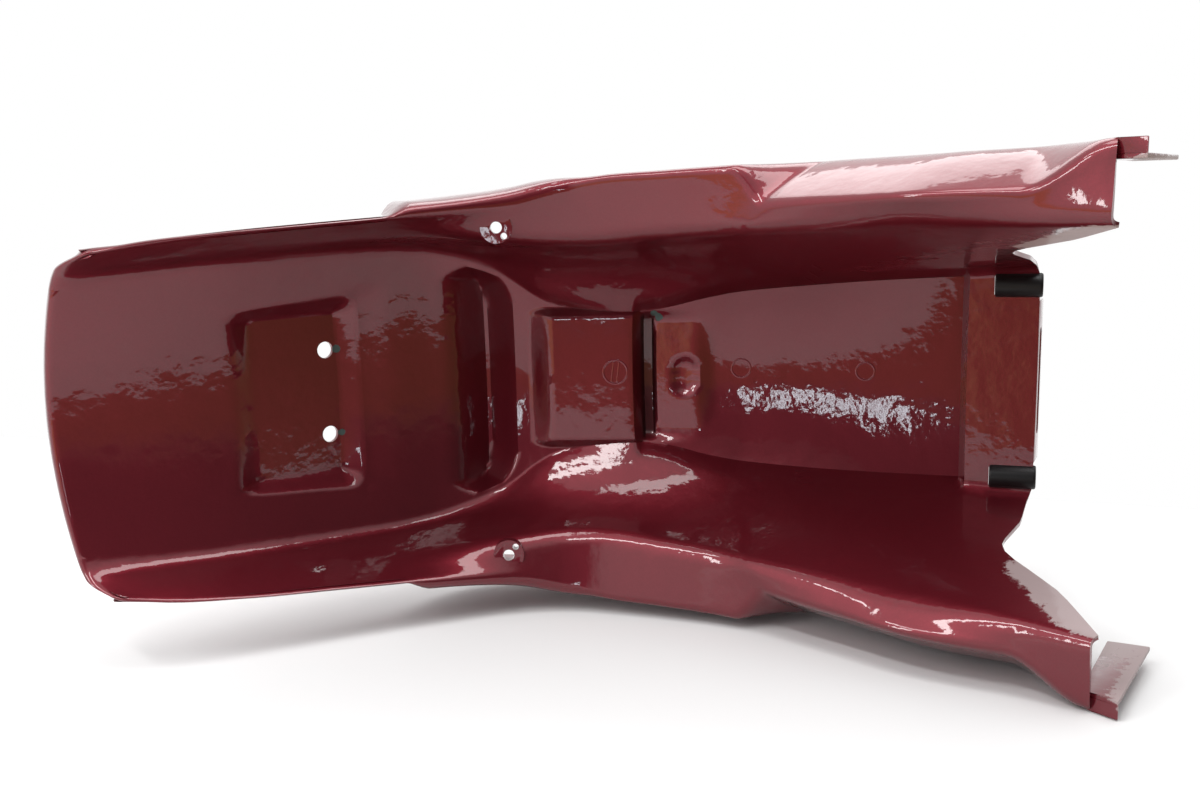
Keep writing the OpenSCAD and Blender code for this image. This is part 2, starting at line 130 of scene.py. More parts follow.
def section(x):
    """Floor depth and the three section corners at stations x, one row each."""
    xs, v = STATIONS[:, 0], STATIONS[:, 1:]
    last = len(xs) - 1
    k = np.arange(last + 1)
    lo, hi = np.maximum(k - 1, 0), np.minimum(k + 1, last)
    slope = (v[hi] - v[lo]) / (xs[hi] - xs[lo])[:, None]
    i = np.clip(np.searchsorted(xs, x, side="right") - 1, 0, last - 1)
    h = (xs[i + 1] - xs[i])[:, None]
    t = (x - xs[i])[:, None] / h
    return (
        (2 * t**3 - 3 * t**2 + 1) * v[i]
        + (t**3 - 2 * t**2 + t) * h * slope[i]
        + (3 * t**2 - 2 * t**3) * v[i + 1]
        + (t**3 - t**2) * h * slope[i + 1]
    )


def floor_depth(x, z):
    s = section(x)
    return s[:, 0] + (s[:, 2] - s[:, 0]) * (z / s[:, 3]) ** 2


def floor_out(x):
    zero = np.zeros_like(x)
    rise = floor_depth(x + 1, zero) - floor_depth(x - 1, zero)
    d = unit(np.stack([np.full_like(x, 2.0), rise], 1))
    return np.stack([-d[:, 1], d[:, 0]], 1)


def floor_point(x, out):
    one = np.array([float(x)])
    return np.array([x, floor_depth(one, 0 * one)[0]]) + out * floor_out(one)[0]


SEAT_LINE = (floor_point(SEAT["back"], SEAT["shallow"]), floor_point(SEAT["front"], SEAT["deep"]))
PANEL_LINE = (floor_point(PANEL_BACK, -3.0), floor_point(FRONT, -2.0))
SEAT_TURN = math.atan2(*(SEAT_LINE[1] - SEAT_LINE[0])[::-1])
PANEL_TURN = math.atan2(*(PANEL_LINE[1] - PANEL_LINE[0])[::-1])
BOLT_LINE = SEAT_LINE[0] + 0.58 * (SEAT_LINE[1] - SEAT_LINE[0])


def to_plane(x, z, line):
    p, q = line
    n, d = floor_out(x), q - p
    g0, g1 = p[0] - x, p[1] - floor_depth(x, z)
    return (g0 * d[1] - g1 * d[0]) / (n[:, 0] * d[1] - n[:, 1] * d[0])


def seat_rim(x):
    along = np.clip((x - SEAT["back"]) / (SEAT["front"] - SEAT["back"]), 0, 1)
    return SEAT["half"] + 8.3 + 10 * along


def soft(v, width):
    """A ramp from 0 to 1 with rounded ends."""
    t = (np.clip(v, -width, 1 + width) + width) / (1 + 2 * width)
    return t * t * (3 - 2 * t) * 0.35 + t * 0.65


def rounded(a, b):
    """Joins two ramps that fall to 0 at a rim, with a round corner between them."""
    return 1 - np.minimum(1, np.hypot(1 - np.clip(a, 0, 1), 1 - np.clip(b, 0, 1)))


def eased(t):
    return t * t * (3 - 2 * t)


def seat_form(x, z):
    run = (x - SEAT["back"] + 6) / 18.0
    end = np.interp(x, [SEAT_FOOT, SEAT_RIM], [1, 0])
    side = (seat_rim(x) - np.abs(z)) / (seat_rim(x) - SEAT["half"])
    bowl = soft(rounded(end, side), 0.05) * eased(np.clip(run, 0, 1))
    shoulder = 2.2 * ease(SEAT["front"], SEAT_RIM + 1, x) * ease(SEAT_RIM - 12, SEAT_RIM + 1, x)
    shoulder = shoulder * ease(seat_rim(x) + 6, seat_rim(x) - 8, np.abs(z))
    return to_plane(x, z, SEAT_LINE) * bowl + shoulder


def pocket_form(x, z):
    over = np.maximum(0, np.abs(z) - (POCKET["half"] - POCKET_ROUND))
    front = POCKET["front"] - POCKET_ROUND + np.sqrt(np.maximum(0, POCKET_ROUND**2 - over**2))
    rise = np.clip((x - POCKET["back"]) / (POCKET["low"] - POCKET["back"]), 0, None)
    rise = rise**POCKET_CURVE
    fall = (front - x) / (POCKET["front"] - POCKET["low"])
    side = (POCKET["half"] - np.abs(z)) / POCKET_SIDE
    return POCKET["deep"] * soft(rounded(np.minimum(rise, fall), side), 0.06)


def crown(x, z, half):
    """Rise of the arched floor from its middle to z, which forms that are flat across take off."""
    return floor_depth(x, 0 * x) - floor_depth(x, np.clip(z, -half, half))


def pad_form(x, z):
    rise = (x - PAD["back"]) / PAD["rise"]
    fall = (PAD["front"] - x) / 8.0
    side = (PAD["half"] + PAD["slope"] - np.abs(z)) / PAD["slope"]
    along = np.minimum(np.clip(rise, 0, 1), eased(np.clip(fall, 0, 1)))
    return (crown(x, z, PAD["half"]) - PAD["height"]) * soft(rounded(along, side), 0.04)


def groove_form(x, z):
    along = ease(*GROOVE_ENDS[0], x) * ease(*GROOVE_ENDS[1], x)
    return GROOVE_DEEP * along * ease(PAD["half"] + 4, PAD["half"] - 4, np.abs(z))


def shelf_form(x, z):
    ahead = np.clip(x, SHELF["back"], SHELF["front"]) - SHELF["back"] - 15
    height = SHELF["height"] + SHELF["tilt"] * ahead - crown(x, z, SHELF["half"])
    return (
        -height
        * ease(SHELF["back"] - 1.5, SHELF["back"], x)
        * ease(SHELF["front"] + 14, SHELF["front"] - 4, x)
        * ease(SHELF["half"] + 10, SHELF["half"], np.abs(z))
    )


def dimple_form(x, z):
    r = np.hypot(x - DIMPLE["x"], z - DIMPLE["z"]) / DIMPLE["radius"]
    return DIMPLE["deep"] * ease(1.15, 0.45, r)


def relief(x, z):
    forms = seat_form(x, z) + pocket_form(x, z) + pad_form(x, z) + groove_form(x, z)
    forms = forms + shelf_form(x, z) + dimple_form(x, z)
    on_panel = ease(PANEL_BACK - 4, PANEL_BACK, x)
    return forms * (1 - on_panel) + on_panel * to_plane(x, z, PANEL_LINE)


def scalloped(x):
    return ease(SCALLOP_BACK, SCALLOP_BACK + 23, x) * ease(FRONT, SCALLOP_FRONT, x)


def lip_line(x):
    s = section(x)
    return np.stack([x + s[:, 7], s[:, 8]], 1)


def lip_across(x):
    t = unit(lip_line(x + 2) - lip_line(x - 2))
    return np.stack([-t[:, 1], t[:, 0]], 1)


def skin_rise(x):
    t = np.clip((x - BLISTER_BACK) / 58, 0, 1)
    return RIM_DEPTH + (SKIN_HEIGHT - RIM_DEPTH) * np.sqrt(1 - (1 - t) ** 2)


def skin_z(x):
    return (
        section(x)[:, 9]
        + 1
        + (RIM_LEAN * RIM_DEPTH - 1) * ease(TAIL + 40, TAIL, x)
        + SKIN_BULGE * (ease(BLISTER_BACK, BLISTER_BACK + 14, x) - ease(-70, 0, x))
    )


def corner_at(x, first):
    s = section(x)
    return np.stack([x + s[:, first], s[:, first + 1], s[:, first + 2]], 1)


def lip_point(x):
    p, cut = lip_line(x), scalloped(x)
    z = section(x)[:, 9] - SCALLOP_DEPTH * cut
    return np.stack([p[:, 0], p[:, 1] + LIP_EASE * cut, z], 1)


def side_point(x, reach, z):
    p = lip_line(x) + np.reshape(reach, (-1, 1)) * lip_across(x)
    return np.stack([p[:, 0], p[:, 1], z], 1)


def wall_point(x):
    a, b = corner_at(x, 1), corner_at(x, 4)
    f, g = ease(-155, -60, x), ease(30, 200, x)
    share = np.stack([0.5 + 0 * f, 0.5 - 0.15 * f + 0.1 * g, 0.5 + 0.25 * f - 0.38 * g], 1)
    return a + share * (b - a)


def on_floor(x, t):
    """Point of the floor at share t of the way from the middle to its rounded edge."""
    e = corner_at(x, 1)
    near_pad = ease(POCKET["back"], PAD["back"], x)
    seat_foot = SEAT["half"]
    foot = seat_foot + (PAD["half"] - seat_foot) * near_pad
    full = e[:, 2] - CORNER
    rim = seat_rim(x) + (foot + 0.36 * (full - foot) - seat_rim(x)) * near_pad
    to_rim = foot + (rim - foot) * (t - 0.5) / 0.15
    to_edge = rim + (full - rim) * (t - 0.65) / 0.35
    z = np.where(t < 0.5, foot * t / 0.5, np.where(t < 0.65, to_rim, to_edge))
    lead = (e[:, 0] - x) * (z / e[:, 2]) ** 2
    out = floor_out(x) * relief(x, z)[:, None]
    return np.stack([x + out[:, 0] + lead, floor_depth(x, z) + out[:, 1], z], 1)


def toward(a, b, length, most=0.7):
    """From a towards b by a length, but no more than that share of the way."""
    d = b - a
    n = np.linalg.norm(d, axis=1, keepdims=True)
    return a + np.minimum(length, most * n) * d / n


def on_sheet(kind, t, x):
    """Points of the visible side of the moulding, for one column at stations x."""
    if kind == "floor":
        return on_floor(x, t)
    e, w, g, l = corner_at(x, 1), wall_point(x), corner_at(x, 4), lip_point(x)
    if kind == "edge":
        return bend(on_floor(x, 1.0), e, toward(e, w, CORNER), t)
    if kind == "wall":
        return bend(toward(e, w, CORNER), w, toward(g, w, RAIL_CORNER), t)
    g_up, l_in = toward(g, l, RAIL_CORNER, 0.5), l + LIP_CORNER * unit(g - l)
    if kind == "rail":
        return bend(toward(g, w, RAIL_CORNER), g, g_up, t)
    if kind == "face":
        return g_up + t * (l_in - g_up)
    rise = skin_rise(x)
    reach = np.minimum(LIP_CORNER + (SCALLOP_REACH - LIP_CORNER) * scalloped(x), 0.7 * rise)
    s = side_point(x, reach, skin_z(x))
    l_up = l + np.minimum(LIP_CORNER, 0.8 * reach)[:, None] * unit(s - l)
    top = side_point(x, rise, skin_z(x))
    s_up = s + 0.4 * (top - s)
    if kind == "lip":
        return bend(l_in, l, l_up, t)
    if kind == "skin":
        return bend(l_up, s, s_up, t)
    return s_up + t * (top - s_up)


def spans(*runs):
    """Values of each run without its first, so that runs meet in one value."""
    return np.concatenate([np.linspace(a, b, n + 1)[1:] for a, b, n in runs])


FLOOR_SHARES = np.concatenate([[0.0], spans((0, 0.5, 20), (0.5, 0.65, 6), (0.65, 1, 10))])[:-1]

COLUMNS = (
    [("floor", t) for t in FLOOR_SHARES]
    + [("edge", t) for t in np.linspace(0, 1, 7)]
    + [("wall", t) for t in np.linspace(0, 1, 18)[1:-1]]
    + [("rail", t) for t in np.linspace(0, 1, 10)]
    + [("face", t) for t in np.linspace(0, 1, 8)[1:-1]]
    + [("lip", t) for t in np.linspace(0, 1, 7)]
    + [("skin", t) for t in np.linspace(0, 1, 11)[1:]]
    + [("top", t) for t in np.linspace(0, 1, 6)[1:]]
)


NOTCH = ([0, 0.22, 0.42, 0.5, 0.58, 0.78, 1], [4, 12.4, 27, 31, 26, 5, -6])


def cut_back(kind, t):
    """How far the front end stands back in a column: the notch in the side wall."""
    if kind == "edge":
        return 4 * t
    if kind == "wall":
        return float(np.interp(t, *NOTCH))
    return -6 * (1 - t) ** 3 if kind == "rail" else 0.0


def fender_rows():
    """Stations along the fender and the depth of the turned rim at each."""
    keys = [TAIL + RIM_LEG, -325, -300, -276, -259, -241, -216, -199, -191, -190, -183, -177]
    keys += [-176, -156, -140, -124, -117, -98, -91, -89, -84, -75, -68, -62, -57, -52, -42, -39]
    keys += [-20, 1, 20, 24, 27.5, 29.5, 35.5, 37.3, 39.3, 50, 61, 72, 78, 84, 90, 96, 101]
    keys += [122, 146, 172, 198, 224, 242, 253.5, 256, 258, 272.5, 287, FRONT]
    x, rim = [TAIL] * 2, [RIM_DEPTH, 6.5]
    for t in np.linspace(0, 1, 8)[:-1]:
        x.append(TAIL + RIM_LEG * t * t)
        rim.append(RIM_LEG * (1 - t) ** 2)
    for a, b in zip(keys[:-1], keys[1:]):
        n = max(1, int(math.ceil((b - a) / 3.3)))
        x += list(np.linspace(a, b, n + 1)[:-1])
    x.append(keys[-1])
    return np.array(x), np.array(rim + [0.0] * (len(x) - len(rim)))


def blurred(field, times):
    for _ in range(times):
        for axis in (0, 1):
            padded = np.concatenate([field.take([0], axis), field, field.take([-1], axis)], axis)
            n = field.shape[axis]
            field = (
                padded.take(range(0, n), axis) + 2 * field + padded.take(range(2, n + 2), axis)
            ) / 4
    return field


def sheet_grids():
    """Grids of points of the visible side and of the hidden side, rows by columns."""
    x0, rim = fender_rows()
    half = []
    for kind, t in COLUMNS:
        lead = 0 if kind == "floor" else 1.3 * np.minimum(x0 - TAIL, RIM_LEG)
        x = x0 + lead * ease(TAIL + 40, TAIL + RIM_LEG, x0)
        x = x - cut_back(kind, t) * ease(190, FRONT, x0)
        p = on_sheet(kind, t, x)
        out, lip = lip_across(x), lip_point(x)
        turned = np.linalg.norm((p - lip)[:, :2], axis=1) if kind in ("skin", "top") else 0 * x
        drop = np.maximum(rim, turned) - turned
        p = p + np.stack([drop * out[:, 0] - RIM_LEAN * rim, drop * out[:, 1], 0 * x], 1)
        half.append(p)
    right = np.stack(half, 1)
    left = right[:, :0:-1] * [1, 1, -1]
    seen = np.concatenate([left, right], 1)
    mid = right.shape[1] - 1
    du = np.gradient(seen, axis=0)
    dv = np.gradient(seen, axis=1)
    out = unit(np.cross(dv, du))
    kinds = [COLUMNS[abs(j - mid)][0] for j in range(seen.shape[1])]
    past = np.array([k in ("lip", "skin", "top") for k in kinds])
    side = np.where(np.arange(seen.shape[1]) < mid, 0.8, -0.8)
    corner = np.stack([np.ones_like(side), 0 * side, side], 1)
    for i in np.nonzero(x0 < TAIL + RIM_LEG)[0]:
        if rim[i] > RIM_DEPTH / 2:
            out[i] = out[i] * [1, 0, 1]
        out[i][past] = corner[past]
    out = unit(blurred(unit(out), 2))
    return seen, seen + WALL * out, kinds


def sheet_faces(rows, cols):
    n = rows * cols
    i, j = np.meshgrid(np.arange(rows - 1), np.arange(cols - 1), indexing="ij")
    a, b, c, d = i * cols + j, i * cols + j + 1, (i + 1) * cols + j + 1, (i + 1) * cols + j
    front = np.stack([a, d, c, b], -1).reshape(-1, 4)
    back = np.stack([a, b, c, d], -1).reshape(-1, 4) + n
    r, k = np.arange(rows - 1), np.arange(cols - 1)
    edges = []
    for start, stop, flip in (
        (r * cols, (r + 1) * cols, False),
        (r * cols + cols - 1, (r + 1) * cols + cols - 1, True),
        (k, k + 1, True),
        ((rows - 1) * cols + k, (rows - 1) * cols + k + 1, False),
    ):
        quad = [start, start + n, stop + n, stop]
        edges.append(np.stack(quad[::-1] if flip else quad, -1))
    return np.concatenate([front, back] + edges).tolist()


def to_row(points):
    """From the fender's own frame in millimetres to the row frame in metres."""
    return (np.asarray(points, float) - ORIGIN) * MM


def turned_frame(at, angle, z):
    """Matrix of a frame turned about the height axis, its place given in millimetres."""
    place = Matrix.Translation(Vector(to_row([at[0], at[1], z])))
    return place @ Matrix.Rotation(angle, 4, "Z")


def new_object(name, points, faces):
    mesh = bpy.data.meshes.new(name)
    mesh.from_pydata([tuple(p) for p in points], [], faces)
    mesh.update()
    obj = bpy.data.objects.new(name, mesh)
    bpy.context.scene.collection.objects.link(obj)
    return obj


def round_edges(bm, verts, edges, bevel):
    """Bevels the edges and gives back the vertices of the rounded solid."""
    made = bmesh.ops.bevel(
        bm, geom=edges, offset=bevel * MM, segments=2, profile=0.5, affect="EDGES"
    )
    kept = {v for v in verts if v.is_valid}
    return list({v for f in made["faces"] for v in f.verts} | kept)


def add_box(bm, low, high, matrix, bevel=0.0):
    """A box from low to high in millimetres in the frame of matrix, with rounded edges."""
    made = bmesh.ops.create_cube(bm, size=1.0)
    verts = made["verts"]
    for v in verts:
        v.co = Vector([(low[k] + (v.co[k] + 0.5) * (high[k] - low[k])) * MM for k in range(3)])
    if bevel:
        edges = list({e for v in verts for e in v.link_edges})
        verts = round_edges(bm, verts, edges, bevel)
    bmesh.ops.transform(bm, matrix=matrix, verts=verts)


def add_prism(bm, outline, low, high, matrix, bevel=0.0):
    """A plate with the given outline, from low to high, in millimetres in the frame of matrix."""
    bottom = [bm.verts.new(Vector((x * MM, y * MM, low * MM))) for x, y in outline]
    top = [bm.verts.new(Vector((x * MM, y * MM, high * MM))) for x, y in outline]
    n = len(outline)
    faces = [bm.faces.new(bottom[::-1]), bm.faces.new(top)]
    for k in range(n):
        after = (k + 1) % n
        faces.append(bm.faces.new((bottom[k], bottom[after], top[after], top[k])))
    verts = bottom + top
    if bevel:
        edges = list({e for f in faces for e in f.edges})
        verts = round_edges(bm, verts, edges, bevel)
    bmesh.ops.transform(bm, matrix=matrix, verts=verts)


def add_rod(bm, radius, low, high, matrix, segments=64):
    """A cylinder along Y from low to high, in millimetres in the frame of matrix."""
    middle = Matrix.Translation(Vector((0, (low + high) / 2 * MM, 0)))
    turn = middle @ Matrix.Rotation(math.radians(90), 4, "X")
    bmesh.ops.create_cone(
        bm,
        cap_ends=True,
        segments=segments,
        radius1=radius * MM,
        radius2=radius * MM,
        depth=(high - low) * MM,
        matrix=matrix @ turn,
    )


def object_from(bm, name):
    mesh = bpy.data.meshes.new(name)
    bmesh.ops.recalc_face_normals(bm, faces=bm.faces)
    bm.to_mesh(mesh)
    bm.free()
    obj = bpy.data.objects.new(name, mesh)
    bpy.context.scene.collection.objects.link(obj)
    return obj


def apply_boolean(obj, other, operation):
    step = obj.modifiers.new("cut", "BOOLEAN")
    step.operation = operation
    step.object = other
    step.solver = "EXACT"
    depsgraph = bpy.context.evaluated_depsgraph_get()
    mesh = bpy.data.meshes.new_from_object(obj.evaluated_get(depsgraph))
    obj.modifiers.remove(step)
    obj.data = mesh
    bpy.data.objects.remove(other)


def smooth_by_angle(obj, degrees):
    for p in obj.data.polygons:
        p.use_smooth = True
    obj.data.set_sharp_from_angle(angle=math.radians(degrees))


def rail_place(x, share):
    x = np.array([float(x)])
    g, l = corner_at(x, 4)[0], lip_point(x)[0]
    return g + share * (l - g)


# Places and radii of the holes
RAIL_BOLT, RAIL_PIN = rail_place(-86, 0.37), rail_place(-78, 0.16)
RAIL_BOLT_R, RAIL_PIN_R = 4.0, 2.25
LAMP_BOLT_Z, LAMP_BOLT_R = 31, 6.0
RAIL_SEAT = {"radius": 11.0, "low": -1.4, "high": 5}
FLANGE = {"width": 20, "turn": -8, "edge": 0.8}
FLANGE.update({"window_at": 11.0, "window_r": 4.5, "window_half": 33.5})
TONGUE = {"wide": 17.0, "length": 94.0, "inset": 8.5, "turn": 57.7}


def shell_cutters():
    """Everything that is cut out of the moulding, as one object."""
    bm = bmesh.new()
    seat = turned_frame(BOLT_LINE, SEAT_TURN, 0)
    panel = turned_frame(PANEL_LINE[1], PANEL_TURN, 0)
    for side in (-1, 1):
        lamp_bolt = seat @ Matrix.Translation((0, 0, side * LAMP_BOLT_Z * MM))
        add_rod(bm, LAMP_BOLT_R, -10, 10, lamp_bolt)
        for at, radius in ((RAIL_BOLT, RAIL_BOLT_R), (RAIL_PIN, RAIL_PIN_R)):
            spot = Matrix.Translation(Vector(to_row([at[0], at[1], side * at[2]])))
            add_rod(bm, radius, -20, 20, spot, 48)
        low = side * SLOT["z"] - SLOT["width"] / 2
        add_box(bm, (-SLOT["length"], -10, low), (20, 20, low + SLOT["width"]), panel)
    return object_from(bm, "cutters")


def front_flange():
    """The flange turned back from the front edge, with its window."""
    half = SLOT["z"] - SLOT["width"] / 2 - 4
    turn = Matrix.Rotation(math.radians(FLANGE["turn"]), 4, "Z")
    frame_at = turned_frame(PANEL_LINE[1], PANEL_TURN, 0) @ turn
    bm = bmesh.new()
    add_box(bm, (-WALL, 0, -half), (0, FLANGE["width"], half), frame_at, FLANGE["edge"])
    plate = object_from(bm, "front_flange")
    bm = bmesh.new()
    middle, radius, reach = FLANGE["window_at"], FLANGE["window_r"], FLANGE["window_half"]
    add_box(bm, (-WALL - 2, middle - radius, -reach), (2, middle + radius, reach), frame_at)
    hole = object_from(bm, "window")
    apply_boolean(plate, hole, "DIFFERENCE")
    for side in (-1, 1):
        bm = bmesh.new()
        end = Matrix.Translation((-1.5 * MM, middle * MM, side * reach * MM))
        end = end @ Matrix.Rotation(math.radians(90), 4, "Z")
        add_rod(bm, radius, -4, 4, frame_at @ end, 40)
        apply_boolean(plate, object_from(bm, "window_end"), "DIFFERENCE")
    return plate


def tongues():
    """The parts of the two flat tongues ahead of the side skins, one object each."""
    x = np.array([FRONT])
    root = lip_point(x)[0] + [1.5, 2, 0]
    z_skin = float(skin_z(x)[0])
    wide, length = TONGUE["wide"], TONGUE["length"]
    low = z_skin - TONGUE["inset"] - WALL
    end = (-wide * 0.4, -wide * 0.9)
    plate = [(0, 6), (0, 0), end, (length - 6, -wide * 1.1), (length - 8, 0), (length - 8, 6)]
    strip = [(0.1, 2.9), (0.1, 0.1), (end[0] + 0.1, end[1])]
    strip += [(end[0] + 2.9, end[1] + 0.1), (2.9, 0.2)]
    layers = (plate, low, low + WALL, 0.7), (strip, low + 0.1, z_skin - 0.2, 0.6)
    parts = []
    for side in (-1, 1):
        at = turned_frame(root, math.radians(TONGUE["turn"]), 0)
        at = at @ Matrix.Scale(side, 4, (0, 0, 1))
        for outline, bottom, top, bevel in layers:
            bm = bmesh.new()
            add_prism(bm, outline, bottom, top, at, bevel)
            parts.append(object_from(bm, "tongue_part"))
        bm = bmesh.new()
        add_box(bm, (2, -0.05, low + 0.15), (SKIN_HEIGHT - 6, WALL + 0.05, z_skin - 0.1), at, 0.6)
        parts.append(object_from(bm, "tongue_step"))
    return parts


def rail_seats():
    """The round seats about the bolt holes of the rails."""
    seats = []
    for side in (-1, 1):
        bm = bmesh.new()
        x, y, z = RAIL_BOLT
        spot = Matrix.Translation(Vector(to_row([x, y, side * z])))
        add_rod(bm, RAIL_SEAT["radius"], RAIL_SEAT["low"], RAIL_SEAT["high"], spot, 72)
        seats.append(object_from(bm, "rail_seat"))
    return seats


def node_tree(name):
    material = bpy.data.materials.new(name)
    material.use_nodes = True
    tree = material.node_tree
    tree.nodes.clear()
    output = tree.nodes.new("ShaderNodeOutputMaterial")
    shader = tree.nodes.new("ShaderNodeBsdfPrincipled")
    tree.links.new(shader.outputs["BSDF"], output.inputs["Surface"])
    return material, tree, shader


def add(tree, kind, inputs=None, **settings):
    node = tree.nodes.new(kind)
    for key, value in settings.items():
        setattr(node, key, value)
    for key, value in (inputs or {}).items():
        if isinstance(value, bpy.types.NodeSocket):
            tree.links.new(value, node.inputs[key])
        else:
            node.inputs[key].default_value = value
    return node


def noise(tree, where, scale, detail=3.0, rough=0.5):
    inputs = {"Vector": where, "Scale": scale, "Detail": detail, "Roughness": rough}
    return add(tree, "ShaderNodeTexNoise", inputs).outputs["Fac"]


def math_node(tree, operation, a, b=0.0, clamp=False):
    node = add(tree, "ShaderNodeMath", {0: a, 1: b}, operation=operation, use_clamp=clamp)
    return node.outputs[0]


def times(tree, a, b):
    return math_node(tree, "MULTIPLY", a, b)


def apart(tree, vector):
    return add(tree, "ShaderNodeSeparateXYZ", {"Vector": vector}).outputs


def spread(tree, value, low, high):
    """A smooth ramp from 0 at low to 1 at high."""
    inputs = {0: value, 1: low, 2: high}
    return add(tree, "ShaderNodeMapRange", inputs, interpolation_type="SMOOTHSTEP").outputs[0]


def distance_to(tree, flat, x, z):
    """Distance in metres from a place of the fender's own frame, seen along its Y axis."""
    at = to_row([x, 0.0, z])
    inputs = {0: flat, 1: (at[0], 0, at[2])}
    return add(tree, "ShaderNodeVectorMath", inputs, operation="DISTANCE").outputs["Value"]


def offset_from(tree, flat, x, z):
    """Vector in metres from a place of the fender's own frame, seen along its Y axis."""
    at = to_row([x, 0.0, z])
    inputs = {0: flat, 1: (at[0], 0, at[2])}
    return add(tree, "ShaderNodeVectorMath", inputs, operation="SUBTRACT").outputs[0]


def mix_rgb(tree, share, a, b):
    node = tree.nodes.new("ShaderNodeMix")
    node.data_type = "RGBA"
    for socket, value in ((node.inputs[0], share), (node.inputs[6], a), (node.inputs[7], b)):
        if isinstance(value, bpy.types.NodeSocket):
            tree.links.new(value, socket)
        else:
            socket.default_value = value
    return node.outputs[2]


def mix_value(tree, share, a, b):
    node = tree.nodes.new("ShaderNodeMix")
    for socket, value in zip((node.inputs[0], node.inputs[2], node.inputs[3]), (share, a, b)):
        if isinstance(value, bpy.types.NodeSocket):
            tree.links.new(value, socket)
        else:
            socket.default_value = value
    return node.outputs[0]


def ring_mark(tree, flat, x, z, radius, width):
    """1 on a ring about a place of the fender's own frame, 0 off it, in millimetres."""
    far = distance_to(tree, flat, x, z)
    off = math_node(tree, "ABSOLUTE", math_node(tree, "SUBTRACT", far, radius * MM))
    return spread(tree, off, width * MM, 0.0)


def stroke_mark(tree, flat, x, z, lean, half, width):
    """1 on a short straight line that leans by so many degrees from the height axis."""
    local = offset_from(tree, flat, x, z)
    inputs = {"Vector": local, "Axis": (0, 1, 0), "Angle": math.radians(lean)}
    turned = apart(tree, add(tree, "ShaderNodeVectorRotate", inputs).outputs[0])
    across = spread(tree, math_node(tree, "ABSOLUTE", turned["X"]), width * MM, 0.0)
    height = math_node(tree, "ABSOLUTE", turned["Z"])
    return times(tree, across, spread(tree, height, (half + 1) * MM, half * MM))


def moulded_marks(tree, flat):
    """Height of the small bare marks that the mould left in the floor."""
    marks = [ring_mark(tree, flat, *place) for place in MARK_RINGS]
    marks += [stroke_mark(tree, flat, *place) for place in MARK_STROKES]
    total = marks[0]
    for mark in marks[1:]:
        total = math_node(tree, "MAXIMUM", total, mark)
    return total


def chipped(tree, flat, ragged):
    """1 where the paint is chipped off round the holes and edges, with ragged outlines."""
    total = None
    for x, z, radius in CHIPS:
        chip = spread(tree, distance_to(tree, flat, x, z), radius * MM, 0.0)
        total = chip if total is None else math_node(tree, "MAXIMUM", total, chip)
    rough = math_node(tree, "ADD", total, math_node(tree, "SUBTRACT", ragged, 0.5))
    return math_node(tree, "MULTIPLY", math_node(tree, "SUBTRACT", rough, 0.35), 9.0, True)


def painted_groove_shade(tree, flat):
    """1 in the narrow groove in front of the pad, where painted shade darkens the paint, standing
    in for the shade of the groove's depth.
    """
    middle = 0.5 * (PAD["front"] + SHELF["back"]) - 0.5
    local = apart(tree, offset_from(tree, flat, middle, 0.0))
    across = spread(tree, math_node(tree, "ABSOLUTE", local["X"]), 6.5 * MM, 4.0 * MM)
    along = spread(tree, math_node(tree, "ABSOLUTE", local["Z"]), 50 * MM, 44 * MM)
    return times(tree, times(tree, across, along), 0.75)


